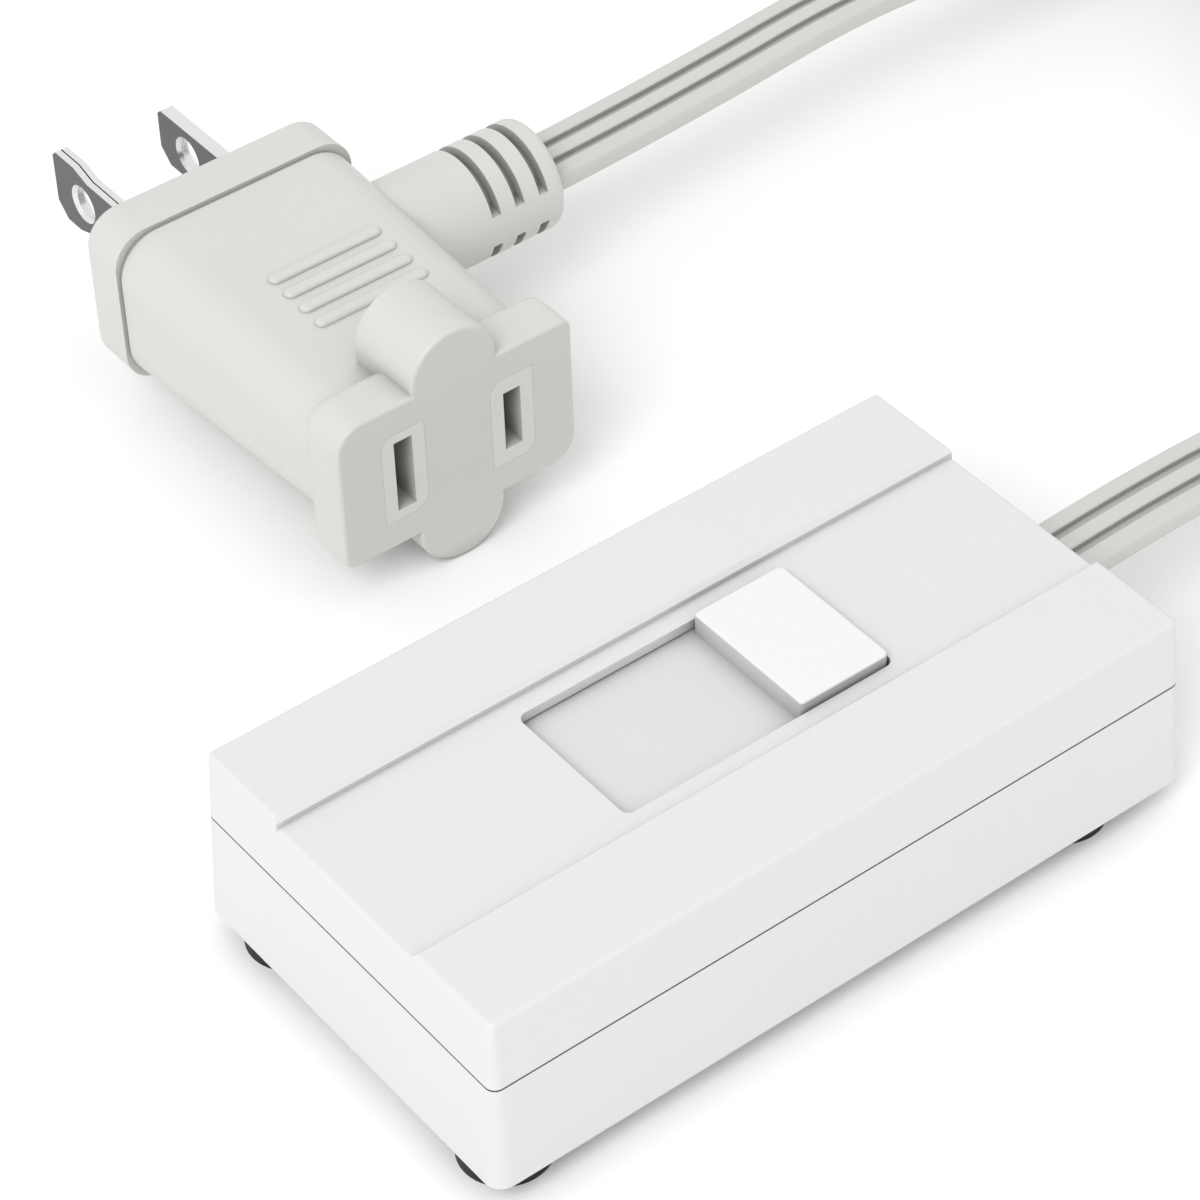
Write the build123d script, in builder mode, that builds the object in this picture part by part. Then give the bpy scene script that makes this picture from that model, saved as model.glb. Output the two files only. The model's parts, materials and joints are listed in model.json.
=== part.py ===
from build123d import *
from math import cos, hypot, pi, radians, sin, tan
import os

# A tabletop slide dimmer for a lamp, with its cord and its plug, at full size in millimetres.
# The case's centre is over the origin, its feet stand on Z 0, and the cord leaves towards +X.

# Case
base_length = 77.4
base_width = 42.9
bottom_height = 11.76
top_height = 7.28
draft_angle = 3.5
case_corner = 1.75
case_top_edge = 0.45
case_bottom_edge = 0.3
parting_gap = 0.16
parting_groove = 0.5
wall = 1.8
floor_thickness = 2.0
roof = 2.0
cavity_corner = 1.6
lip_height = 1.2
lip_thickness = 0.8

# Clearances, and the distance that a cut runs past the face that it opens
fit_gap = 0.1
mould_gap = 0.02
run_gap = 0.3
overrun = 1.0

# Channel and window in the top of the case
band_width = 11.75
channel_depth = 1.0
channel_edge = 0.45
window_length = 29.6
window_margin = 2.0
window_corner = 0.9
window_shift = 0.95

# Knob, dust shield and their rails
knob_length = 10.0
knob_rise = 1.05
knob_nose = 0.7
knob_heel = 0.35
knob_edge = 0.25
knob_side_gap = 0.25
shield_thickness = 0.8
shield_gap = 0.25
shield_cover = 0.5
stem_length = 7.0
stem_width = 4.2
stem_drop = 3.4
rail_width = 1.2

# Feet and case screws
foot_stand = 2.6
foot_radius = 4.4
foot_taper = 0.1
foot_recess = 0.5
foot_inset = 5.0
foot_inset_cord_end = 9.7
foot_inset_side = 5.75
boss_radius = 3.2
screw_radius = 1.2
screw_head_radius = 2.4
screw_seat = 3.0
screw_bite = 4.0

# Circuit board and its screws
board_thickness = 1.6
board_stand = 2.4
board_side_gap = 1.65
board_corner = 1.0
board_boss_radius = 2.2
board_screw_inset = 3.2
board_screw_radius = 0.9
board_screw_head_radius = 1.8
board_screw_head_height = 1.2
board_screw_depth = 2.2

# Slide potentiometer
pot_length = 35.0
pot_width = 9.0
pot_height = 6.6
pot_sheet = 0.5
pot_base_thickness = 1.2
pot_slot_spare = 0.75
track_width = 1.4
track_thickness = 0.2
track_spacing = 4.4
carriage_length = 6.6
carriage_height = 3.6
lever_length = 4.0
lever_width = 1.2

# Triac on its heat sink
sink_length = 18.6
sink_pot_gap = 1.1
sink_edge_gap = 0.8
sink_thickness = 1.2
sink_fin_height = 8.4
sink_place_x = -6.7
triac_side_gap = 0.2
triac_body_length = 9.2
triac_thickness = 4.4
triac_tab_length = 6.4
triac_tab_thickness = 1.3
triac_lead_width = 0.8
triac_lead_pitch = 2.54
triac_lead_reach = 3.2
triac_screw_radius = 1.4
triac_screw_head_radius = 2.6
triac_screw_head_height = 1.6

# Choke
choke_length = 16.0
choke_radius = 4.4
choke_shift = 1.15
choke_flange = 1.6
choke_hub_radius = 2.0
choke_winding_inset = 0.5
choke_place_x = 9.0

# Capacitors
film_length = 13.0
film_pot_gap = 1.95
film_fuse_gap = 1.75
film_height = 9.0
film_edge = 0.6
film_top_edge = 0.3
film_place_x = -9.0
timing_length = 7.0
timing_width = 2.6
timing_height = 6.2
timing_edge = 0.65
timing_place_x = -19.8
timing_place_y = -9.0

# Resistors, diac and fuse, which lie on bent leads
lead_radius = 0.3
lead_run = 1.4
resistor_radius = 1.15
resistor_length = 6.3
resistor_count = 3
resistor_pitch = 3.1
resistor_place_x = -27.6
resistor_place_y = 0.0
diac_radius = 0.95
diac_length = 4.2
diac_place_x = -19.6
diac_place_y = 8.0
fuse_radius = 1.5
fuse_length = 9.0
fuse_place_x = -9.0
fuse_edge_gap = 1.3

# Cord, a flat one of three cores
cord_width = 8.0
cord_thickness = 2.7
cord_groove = 0.35
cord_height = 12.1
cord_stub = 0.07
cord_hole_gap = 0.25
core_pitch = 2.65
core_radius = 0.8
core_bend = 1.9
core_run = 1.2

# Cord clamp inside the case
clamp_width = 4.0
clamp_length = 17.0
clamp_thickness = 1.5
clamp_inset = 7.7
clamp_spacing = 13.2
clamp_post_radius = 2.0
clamp_screw_radius = 0.9
clamp_screw_head_radius = 1.7
clamp_screw_head_height = 1.1
clamp_screw_depth = 5.0
tail_reach = 14.0

# Plug: place, head, waist and flange
plug_x = 8.2
plug_face_y = 46.5
head_width = 27.4
head_height = 17.0
head_depth = 6.0
head_wide_corner = 3.0
head_small_corner = 1.3
head_back_edge = 1.6
face_edge = 0.4
lobe_radius = 4.95
lobe_reach = 13.9
lobe_depth = 9.0
waist_width_front = 26.2
waist_width_back = 27.6
waist_height_front = 13.6
waist_height_back = 17.3
waist_corner = 4.6
flange_front = 37.0
flange_back = 42.5
flange_width = 28.2
flange_height = 18.0
flange_corner = 3.7
flange_edge = 0.8
flange_groove = 0.4

# Plug: grip ribs
rib_count = 4
rib_pitch = 2.6
rib_length = 13.1
rib_width = 1.5
rib_rise = 0.5
rib_edge = 0.45
rib_centre = 19.5
rib_shift = 1.5

# Plug: strain relief
relief_radius = 6.05
relief_axis = 30.0
relief_end = 31.2
relief_slot_count = 3
relief_slot = 1.1
relief_slot_pitch = 2.95
relief_slot_end = 2.1
relief_slot_floor = 4.5
relief_web = 3.6
relief_edge = 0.8

# Plug: receptacle core, contacts and blades
blade_spacing = 12.7
pad_width = 5.0
pad_height = 10.4
pad_corner = 1.5
pad_depth = 2.5
socket_width = 20.6
socket_height = 11.4
socket_depth = 24.0
socket_corner = 1.0
neutral_slot_width = 2.1
neutral_slot_height = 8.3
hot_slot_width = 2.0
hot_slot_height = 6.9
slot_depth = 19.0
chamber_start = 3.6
chamber_width = 4.2
contact_sheet = 0.4
contact_height = 6.0
contact_mouth = 1.0
wiring_depth = 7.0
blade_thickness = 1.5
blade_width = 6.35
neutral_blade_width = 7.9
blade_length = 17.5
blade_root = 9.0
blade_hole_radius = 1.75
blade_hole_place = 12.3
blade_hole_bevel = 0.4
blade_tip_cut = 1.6
blade_tip_trim = 0.6
blade_step = 2.4
blade_fold_width = 0.14
blade_fold_depth = 0.7

# Route of the cord from the case to its coil, and from the plug to the coil's other end
cord_exit_x = base_length / 2 - (cord_height - foot_stand) * tan(radians(draft_angle)) + cord_stub
relief_end_x = plug_x + relief_end
relief_y = plug_face_y + relief_axis
case_route = [
    (cord_exit_x, 0, cord_height),
    (76.0, 0, cord_height),
    (99.0, -3.6, 4.3),
    (118.0, -3.6, 4.3),
]
plug_route = [
    (relief_end_x, relief_y, lobe_reach),
    (56.0, 76.5, 13.9),
    (86.0, 76.5, 15.2),
    (106.0, 76.5, 12.8),
    (122.0, 76.5, 12.8),
]

# Coil of the length that is put away: long loops of the cord on its edge, in two layers
coil_start_x = 150.0
coil_end_x = 148.0
coil_left_x = 157.0
coil_right_x = 187.0
coil_outer_radius = 38.45
coil_pitch = 3.2
coil_layer_step = 8.5
half_turns_in = 5
half_turns_out = 6
twist_steps = 4
run_share = 0.45
gap_samples = 400
gap_skip = 32.0

# Heights that the sizes above give
parting = foot_stand + bottom_height
case_top = parting + top_height
channel_floor = case_top - channel_depth
roof_under = case_top - roof
floor_top = foot_stand + floor_thickness
shield_top = roof_under - shield_gap
shield_bottom = shield_top - shield_thickness
rail_bottom = shield_bottom - run_gap
board_bottom = floor_top + board_stand
board_top = board_bottom + board_thickness
pot_top = board_top + pot_height

# The knob rests at the cord's end of its window, and the potentiometer is centred on its travel
knob_travel = window_length - knob_length - 2 * run_gap
knob_x = window_shift + knob_travel / 2
pot_x = window_shift

# Widths across the case: the channel and window between the bands, the board between the walls,
# and the parts on the board between the potentiometer and the board's edges
channel_width = base_width - 2 * band_width
window_width = channel_width - 2 * window_margin
knob_width = window_width - 2 * knob_side_gap
shield_width = channel_width
board_width = base_width - 2 * (wall + board_side_gap)
side_room = (board_width - pot_width) / 2
sink_width = side_room - sink_pot_gap - sink_edge_gap
sink_place_y = -(pot_width + sink_width) / 2 - sink_pot_gap
triac_width = sink_width - sink_thickness - 2 * triac_side_gap
choke_winding_radius = choke_radius - choke_winding_inset
choke_place_y = (board_width + pot_width) / 4 + choke_shift
fuse_place_y = board_width / 2 - fuse_edge_gap - fuse_radius
film_width = side_room - film_pot_gap - film_fuse_gap - 2 * fuse_radius - fuse_edge_gap
film_place_y = (pot_width + film_width) / 2 + film_pot_gap


def slope(z):
    """How far the case's walls have leaned in at height z."""
    return (z - foot_stand) * tan(radians(draft_angle))


def case_outline(z, inset, corner, mode=Mode.ADD):
    """Draws the case's outline at height z, drawn in by inset."""
    lean = inset + slope(z)
    RectangleRounded(base_length - 2 * lean, base_width - 2 * lean, corner - slope(z), mode=mode)


def near(value, wanted):
    """Whether two places agree to within the closest fit."""
    return abs(value - wanted) < fit_gap / 2


foot_x_far = base_length / 2 - foot_inset
foot_x_cord = base_length / 2 - foot_inset_cord_end
foot_y = base_width / 2 - foot_inset_side
foot_places = [(-foot_x_far, foot_y), (-foot_x_far, -foot_y), (foot_x_cord, foot_y), (foot_x_cord, -foot_y)]

board_left = -foot_x_far + boss_radius + run_gap
clamp_x = base_length / 2 - clamp_inset
board_right = clamp_x - clamp_post_radius - clamp_width
board_length = board_right - board_left
board_x = (board_right + board_left) / 2
board_hole_places = [
    (board_x + side * (board_length / 2 - board_screw_inset), end * (board_width / 2 - board_screw_inset))
    for side in (-1, 1)
    for end in (-1, 1)
]
clamp_places = [(clamp_x, clamp_spacing / 2), (clamp_x, -clamp_spacing / 2)]
cord_top = cord_height + cord_thickness / 2
cord_under = cord_height - cord_thickness / 2

# Bottom shell: drafted walls, a lip at the parting line, screw bosses, board posts, cord saddle
with BuildPart() as bottom_shell:
    with BuildSketch(Plane.XY.offset(foot_stand)):
        case_outline(foot_stand, 0, case_corner)
    extrude(amount=bottom_height, taper=draft_angle)
    fillet(bottom_shell.edges().group_by(Axis.Z)[0], case_bottom_edge)
    with BuildSketch(Plane.XY.offset(floor_top)):
        case_outline(floor_top, wall, cavity_corner)
    extrude(amount=bottom_height, taper=draft_angle, mode=Mode.SUBTRACT)
    with BuildSketch(Plane.XY.offset(parting)):
        case_outline(parting, wall - lip_thickness, cavity_corner)
        lip_inner = wall + slope(parting)
        Rectangle(base_length - 2 * lip_inner, base_width - 2 * lip_inner, mode=Mode.SUBTRACT)
    extrude(amount=lip_height)
    with BuildSketch(Plane.XY.offset(parting - parting_gap)):
        Rectangle(base_length + 2 * overrun, base_width + 2 * overrun)
        case_outline(parting, parting_groove, case_corner - parting_groove, Mode.SUBTRACT)
    extrude(amount=parting_gap, mode=Mode.SUBTRACT)
    with BuildSketch(Plane.XY.offset(floor_top)):
        with Locations(*foot_places):
            Circle(boss_radius)
    extrude(amount=parting - floor_top)
    with BuildSketch(Plane.XY.offset(floor_top)):
        with Locations(*board_hole_places):
            Circle(board_boss_radius)
    extrude(amount=board_stand)
    with BuildSketch(Plane.XY.offset(floor_top)):
        with Locations(*clamp_places):
            Circle(clamp_post_radius)
    extrude(amount=cord_top - floor_top)
    with BuildSketch(Plane.XY.offset(floor_top)):
        with Locations((clamp_x, 0)):
            Rectangle(clamp_width, cord_width)
    extrude(amount=cord_under - floor_top)
    with BuildSketch(Plane.XY.offset(foot_stand)):
        with Locations(*foot_places):
            Circle(foot_radius + fit_gap)
    extrude(amount=foot_recess, mode=Mode.SUBTRACT)
    with BuildSketch(Plane.XY.offset(foot_stand)):
        with Locations(*foot_places):
            Circle(screw_head_radius + fit_gap)
    extrude(amount=screw_seat, mode=Mode.SUBTRACT)
    with BuildSketch(Plane.XY.offset(foot_stand)):
        with Locations(*foot_places):
            Circle(screw_radius + fit_gap)
    extrude(amount=bottom_height + overrun, mode=Mode.SUBTRACT)
    with BuildSketch(Plane.XY.offset(board_bottom)):
        with Locations(*board_hole_places):
            Circle(board_screw_radius + fit_gap)
    extrude(amount=-board_screw_depth - fit_gap, mode=Mode.SUBTRACT)
    with BuildSketch(Plane.XY.offset(cord_top)):
        with Locations(*clamp_places):
            Circle(clamp_screw_radius + fit_gap)
    extrude(amount=-clamp_screw_depth - fit_gap, mode=Mode.SUBTRACT)
    with BuildSketch(Plane.YZ.offset(base_length / 2 - wall - overrun)):
        with Locations((0, cord_height)):
            SlotOverall(cord_width + 2 * cord_hole_gap, cord_thickness + 2 * cord_hole_gap)
    extrude(amount=wall + 2 * overrun, mode=Mode.SUBTRACT)

# Top shell: the sunk channel, the knob's window, rails for the dust shield, and screw bosses
with BuildPart() as top_shell:
    with BuildSketch(Plane.XY.offset(parting)):
        case_outline(parting, 0, case_corner)
    extrude(amount=top_height, taper=draft_angle)
    fillet(top_shell.edges().group_by(Axis.Z)[-1], case_top_edge)
    with BuildSketch(Plane.XY.offset(parting)):
        case_outline(parting, wall, cavity_corner)
    extrude(amount=top_height - roof, taper=draft_angle, mode=Mode.SUBTRACT)
    half_channel = channel_width / 2
    with BuildSketch(Plane.YZ.offset(-base_length / 2)):
        with BuildLine():
            Polyline(
                (-half_channel, channel_floor),
                (half_channel, channel_floor),
                (half_channel, case_top - channel_edge),
                (half_channel + channel_edge + overrun, case_top + overrun),
                (-half_channel - channel_edge - overrun, case_top + overrun),
                (-half_channel, case_top - channel_edge),
                close=True,
            )
        make_face()
    extrude(amount=base_length, mode=Mode.SUBTRACT)
    channel_ends = top_shell.edges().filter_by(Axis.Y)
    fillet(channel_ends.filter_by(lambda edge: near(edge.center().Z, channel_floor)), channel_edge)
    with BuildSketch(Plane.XY.offset(roof_under)):
        with Locations((window_shift, 0)):
            RectangleRounded(window_length, window_width, window_corner)
    extrude(amount=roof + overrun, mode=Mode.SUBTRACT)
    rail_inset = wall / 2 + slope(roof_under)
    with BuildSketch(Plane.XY.offset(rail_bottom)):
        for side in (-1, 1):
            with Locations((0, side * (shield_width / 2 + run_gap + rail_width / 2))):
                Rectangle(base_length - 2 * rail_inset, rail_width)
    extrude(amount=roof_under - rail_bottom)
    with BuildSketch(Plane.XY.offset(parting)):
        with Locations(*foot_places):
            Circle(boss_radius)
    extrude(amount=roof_under - parting)
    with BuildSketch(Plane.XY.offset(parting)):
        case_outline(parting, wall - lip_thickness - fit_gap, cavity_corner)
        case_outline(parting, wall + fit_gap, cavity_corner, Mode.SUBTRACT)
    extrude(amount=lip_height + fit_gap, mode=Mode.SUBTRACT)
    with BuildSketch(Plane.XY.offset(parting)):
        with Locations(*foot_places):
            Circle(screw_radius + fit_gap)
    extrude(amount=screw_bite + fit_gap, mode=Mode.SUBTRACT)

# Rubber feet, let into the underside over the case screws
with BuildPart() as rubber_feet:
    with BuildSketch(Plane.XY):
        with Locations(*foot_places):
            Circle(foot_radius - foot_taper)
    with BuildSketch(Plane.XY.offset(foot_stand + foot_recess)):
        with Locations(*foot_places):
            Circle(foot_radius)
    for low, high in zip(rubber_feet.pending_faces[:4], rubber_feet.pending_faces[4:]):
        loft([low, high], ruled=True)
    rubber_feet.pending_faces.clear()

# Case screws, their heads seated in the bottom shell and their ends in the top shell's bosses
with BuildPart() as case_screws:
    with BuildSketch(Plane.XY.offset(foot_stand + screw_seat)):
        with Locations(*foot_places):
            Circle(screw_head_radius)
    extrude(amount=-(screw_seat - foot_recess - fit_gap))
    with BuildSketch(Plane.XY.offset(foot_stand + screw_seat)):
        with Locations(*foot_places):
            Circle(screw_radius)
    extrude(amount=parting + screw_bite - foot_stand - screw_seat)

# Knob: square at the window's back, rounded at its nose, with the stem that grips the lever
stem_bottom = shield_bottom - stem_drop + shield_thickness
with BuildPart() as slider_knob:
    with BuildSketch(Plane.XY.offset(shield_top)):
        with Locations((knob_x, 0)):
            Rectangle(knob_length, knob_width)
    extrude(amount=channel_floor + knob_rise - shield_top)
    fillet(slider_knob.edges().filter_by(Axis.Z).group_by(Axis.X)[-1], knob_nose)
    fillet(slider_knob.edges().filter_by(Axis.Z).group_by(Axis.X)[0], knob_heel)
    fillet(slider_knob.edges().group_by(Axis.Z)[-1], knob_edge)
    with BuildSketch(Plane.XY.offset(shield_top)):
        with Locations((knob_x, 0)):
            Rectangle(stem_length, stem_width)
    extrude(amount=stem_bottom - shield_top)
    with BuildSketch(Plane.XY.offset(stem_bottom)):
        with Locations((knob_x, 0)):
            Rectangle(lever_length + 2 * fit_gap, lever_width + 2 * fit_gap)
    extrude(amount=shield_bottom - stem_bottom, mode=Mode.SUBTRACT)

# Dust shield, long enough to cover the window wherever the knob stands
shield_back = window_shift - window_length / 2 - shield_cover
shield_front = window_shift + window_length / 2 + shield_cover + knob_travel
with BuildPart() as dust_shield:
    with BuildSketch(Plane.XY.offset(shield_bottom)):
        with Locations(((shield_back + shield_front) / 2, 0)):
            Rectangle(shield_front - shield_back, shield_width)
        with Locations((knob_x, 0)):
            Rectangle(stem_length + 2 * fit_gap, stem_width + 2 * fit_gap, mode=Mode.SUBTRACT)
    extrude(amount=shield_thickness)

# Circuit board, on four posts between the bosses and the cord clamp
with BuildPart() as circuit_board:
    with BuildSketch(Plane.XY.offset(board_bottom)):
        with Locations((board_x, 0)):
            RectangleRounded(board_length, board_width, board_corner)
        with Locations(*board_hole_places):
            Circle(board_screw_radius + fit_gap, mode=Mode.SUBTRACT)
    extrude(amount=board_thickness)

with BuildPart() as board_screws:
    with BuildSketch(Plane.XY.offset(board_top)):
        with Locations(*board_hole_places):
            Circle(board_screw_head_radius)
    extrude(amount=board_screw_head_height)
    with BuildSketch(Plane.XY.offset(board_top)):
        with Locations(*board_hole_places):
            Circle(board_screw_radius)
    extrude(amount=-board_thickness - board_screw_depth)

# Potentiometer housing: a folded can, open below, with the lever's slot along its top
with BuildPart() as pot_housing:
    with BuildSketch(Plane.XY.offset(board_top)):
        with Locations((pot_x, 0)):
            Rectangle(pot_length, pot_width)
    extrude(amount=pot_height)
    fillet(pot_housing.edges().group_by(Axis.Z)[-1].filter_by(Axis.X), pot_sheet)
    with BuildSketch(Plane.XY.offset(board_top)):
        with Locations((pot_x, 0)):
            Rectangle(pot_length - 2 * pot_sheet, pot_width - 2 * pot_sheet)
    extrude(amount=pot_height - pot_sheet, mode=Mode.SUBTRACT)
    with BuildSketch(Plane.XY.offset(pot_top - pot_sheet)):
        with Locations((pot_x, 0)):
            Rectangle(lever_length + knob_travel + 2 * pot_slot_spare, lever_width + 2 * run_gap)
    extrude(amount=pot_sheet + overrun, mode=Mode.SUBTRACT)

# Potentiometer base, which closes the can, and the two tracks that the wiper runs on
base_length_inside = pot_length - 2 * pot_sheet - 2 * fit_gap
base_width_inside = pot_width - 2 * pot_sheet - 2 * fit_gap
with BuildPart() as pot_base:
    with BuildSketch(Plane.XY.offset(board_top)):
        with Locations((pot_x, 0)):
            Rectangle(base_length_inside, base_width_inside)
    extrude(amount=pot_base_thickness)

with BuildPart() as pot_track:
    with BuildSketch(Plane.XY.offset(board_top + pot_base_thickness)):
        for side in (-1, 1):
            with Locations((pot_x, side * track_spacing / 2)):
                Rectangle(base_length_inside - 2 * carriage_height, track_width)
    extrude(amount=track_thickness)

# Wiper carriage and the lever that stands up through the slot into the knob's stem
carriage_bottom = board_top + pot_base_thickness + track_thickness + run_gap
with BuildPart() as pot_lever:
    with BuildSketch(Plane.XY.offset(carriage_bottom)):
        with Locations((knob_x, 0)):
            Rectangle(carriage_length, pot_width - 2 * pot_sheet - 2 * run_gap)
    extrude(amount=carriage_height)
    with BuildSketch(Plane.XY.offset(carriage_bottom + carriage_height)):
        with Locations((knob_x, 0)):
            Rectangle(lever_length, lever_width)
    extrude(amount=shield_bottom - fit_gap - carriage_bottom - carriage_height)

# Heat sink: a plate on the board with one upright fin, and the hole for the triac's screw
tab_x = sink_place_x - sink_length / 2 + triac_tab_length / 2 + sink_thickness
tab_y = sink_place_y + sink_thickness / 2
with BuildPart() as heat_sink:
    with BuildSketch(Plane.XY.offset(board_top)):
        with Locations((sink_place_x, sink_place_y)):
            Rectangle(sink_length, sink_width)
    extrude(amount=sink_thickness)
    with BuildSketch(Plane.XY.offset(board_top)):
        with Locations((sink_place_x, sink_place_y - sink_width / 2 + sink_thickness / 2)):
            Rectangle(sink_length, sink_thickness)
    extrude(amount=sink_fin_height)
    with BuildSketch(Plane.XY.offset(board_top)):
        with Locations((tab_x, tab_y)):
            Circle(triac_screw_radius + fit_gap)
    extrude(amount=sink_thickness, mode=Mode.SUBTRACT)

# Triac: metal tab, moulded body, and three leads bent down to the board
tab_z = board_top + sink_thickness
body_x = tab_x + triac_tab_length / 2 + triac_body_length / 2
lead_x = body_x + triac_body_length / 2
lead_z = tab_z + triac_thickness / 2
with BuildPart() as triac:
    with BuildSketch(Plane.XY.offset(tab_z)):
        with Locations((tab_x, tab_y)):
            Rectangle(triac_tab_length, triac_width)
            Circle(triac_screw_radius + fit_gap, mode=Mode.SUBTRACT)
    extrude(amount=triac_tab_thickness)
    with BuildSketch(Plane.XY.offset(tab_z)):
        with Locations((body_x, tab_y)):
            Rectangle(triac_body_length, triac_width)
    extrude(amount=triac_thickness)
    for place in (-1, 0, 1):
        with BuildSketch(Plane.XZ.offset(-tab_y - place * triac_lead_pitch)):
            with BuildLine():
                Polyline(
                    (lead_x, lead_z),
                    (lead_x + triac_lead_reach, lead_z),
                    (lead_x + triac_lead_reach, board_top),
                    (lead_x + triac_lead_reach - triac_lead_width, board_top),
                    (lead_x + triac_lead_reach - triac_lead_width, lead_z - triac_lead_width),
                    (lead_x, lead_z - triac_lead_width),
                    close=True,
                )
            make_face()
        extrude(amount=triac_lead_width / 2, both=True)

with BuildPart() as triac_screw:
    with BuildSketch(Plane.XY.offset(tab_z + triac_tab_thickness)):
        with Locations((tab_x, tab_y)):
            Circle(triac_screw_head_radius)
    extrude(amount=triac_screw_head_height)
    with BuildSketch(Plane.XY.offset(tab_z + triac_tab_thickness)):
        with Locations((tab_x, tab_y)):
            Circle(triac_screw_radius)
    extrude(amount=-triac_tab_thickness - sink_thickness)

# Choke: a ferrite drum on its side, with the winding between its flanges
choke_z = board_top + choke_radius
choke_left = choke_place_x - choke_length / 2
choke_end = Plane(origin=(choke_left, choke_place_y, choke_z), x_dir=(0, 1, 0), z_dir=(1, 0, 0))
with BuildPart() as choke_core:
    with BuildSketch(choke_end):
        Circle(choke_radius)
    extrude(amount=choke_flange)
    with BuildSketch(choke_end.offset(choke_length - choke_flange)):
        Circle(choke_radius)
    extrude(amount=choke_flange)
    with BuildSketch(choke_end):
        Circle(choke_hub_radius)
    extrude(amount=choke_length)

with BuildPart() as choke_winding:
    with BuildSketch(choke_end.offset(choke_flange)):
        Circle(choke_winding_radius)
        Circle(choke_hub_radius, mode=Mode.SUBTRACT)
    extrude(amount=choke_length - 2 * choke_flange)

# Film capacitor, a moulded block that stands on the board
with BuildPart() as film_capacitor:
    with BuildSketch(Plane.XY.offset(board_top)):
        with Locations((film_place_x, film_place_y)):
            Rectangle(film_length, film_width)
    extrude(amount=film_height)
    fillet(film_capacitor.edges().filter_by(Axis.Z), film_edge)
    fillet(film_capacitor.edges().group_by(Axis.Z)[-1], film_top_edge)

# Timing capacitor, a smaller one across the potentiometer's end
with BuildPart() as timing_capacitor:
    with BuildSketch(Plane.XY.offset(board_top)):
        with Locations((timing_place_x, timing_place_y)):
            Rectangle(timing_width, timing_length)
    extrude(amount=timing_height)
    fillet(timing_capacitor.edges().filter_by(Axis.Z), timing_edge)


def axial_along_y(x, y, radius, length):
    """A body that lies along Y, with its two leads bent down to the board."""
    centre_z = board_top + radius + lead_radius
    reach = length / 2 + lead_run
    with BuildPart() as axial:
        with BuildSketch(Plane.XZ.offset(length / 2 - y)):
            with Locations((x, centre_z)):
                Circle(radius)
        extrude(amount=-length)
        with BuildSketch(Plane.XZ.offset(reach - y)):
            with Locations((x, centre_z)):
                Rectangle(2 * lead_radius, 2 * lead_radius)
        extrude(amount=-2 * reach)
        with BuildSketch(Plane.XY.offset(board_top)):
            for end in (-1, 1):
                with Locations((x, y + end * (reach - lead_radius))):
                    Rectangle(2 * lead_radius, 2 * lead_radius)
        extrude(amount=radius + lead_radius)
    return axial.part


resistor_bodies = []
for number in range(resistor_count):
    place_x = resistor_place_x + number * resistor_pitch
    resistor_bodies.append(axial_along_y(place_x, resistor_place_y, resistor_radius, resistor_length))
with BuildPart() as resistors:
    add(resistor_bodies)

diac_body = axial_along_y(diac_place_x, diac_place_y, diac_radius, diac_length)
with BuildPart() as diac:
    add(diac_body)

# Fuse, a glass-and-cap cartridge held along the board's edge
fuse_z = board_top + fuse_radius
with BuildPart() as fuse:
    with BuildSketch(Plane.YZ.offset(fuse_place_x - fuse_length / 2)):
        with Locations((fuse_place_y, fuse_z)):
            Circle(fuse_radius)
    extrude(amount=fuse_length)


def cord_outline():
    """Draws the cord's outline, its three cores told apart by grooves above and below."""
    SlotOverall(cord_width, cord_thickness)
    for side in (-1, 1):
        for rib in (-1, 1):
            with Locations((rib * core_pitch / 2, side * cord_thickness / 2)):
                Rectangle(cord_groove, cord_groove, rotation=45, mode=Mode.SUBTRACT)


# Cord's end inside the case, held by the clamp, with its three cores bent down to the board
tail_start_x = cord_exit_x - tail_reach
with BuildPart() as cord_tail:
    with BuildSketch(Plane.YZ.offset(tail_start_x)):
        with Locations((0, cord_height)):
            SlotOverall(cord_width, cord_thickness)
    extrude(amount=tail_reach)


def core_wire(y):
    """One core, from the cord's end along -X and down to the board."""
    start = (tail_start_x, y, cord_height)
    bend = (tail_start_x - core_run - core_bend, y, cord_height)
    end = (tail_start_x - core_run - core_bend, y, board_top)
    with BuildPart() as core:
        with BuildLine():
            FilletPolyline(start, bend, end, radius=core_bend)
        with BuildSketch(Plane(origin=start, x_dir=(0, 1, 0), z_dir=(-1, 0, 0))):
            Circle(core_radius)
        sweep()
    return core.part


core_parts = [core_wire(place * core_pitch) for place in (-1, 0, 1)]
with BuildPart() as wire_line:
    add(core_parts[0])
with BuildPart() as wire_load:
    add(core_parts[1])
with BuildPart() as wire_neutral:
    add(core_parts[2])

# Clamp bar across the cord, and its two screws into the posts
with BuildPart() as cord_clamp:
    with BuildSketch(Plane.XY.offset(cord_top)):
        with Locations((clamp_x, 0)):
            SlotOverall(clamp_length, clamp_width, rotation=90)
        with Locations(*clamp_places):
            Circle(clamp_screw_radius + fit_gap, mode=Mode.SUBTRACT)
    extrude(amount=clamp_thickness)

with BuildPart() as clamp_screws:
    with BuildSketch(Plane.XY.offset(cord_top + clamp_thickness)):
        with Locations(*clamp_places):
            Circle(clamp_screw_head_radius)
    extrude(amount=clamp_screw_head_height)
    with BuildSketch(Plane.XY.offset(cord_top + clamp_thickness)):
        with Locations(*clamp_places):
            Circle(clamp_screw_radius)
    extrude(amount=-clamp_thickness - clamp_screw_depth)


def plug_plane(depth):
    """A plane behind the plug's face, drawn as seen from in front, with +Z up."""
    return Plane(origin=(plug_x, plug_face_y + depth, lobe_reach), x_dir=(1, 0, 0), z_dir=(0, -1, 0))


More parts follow.
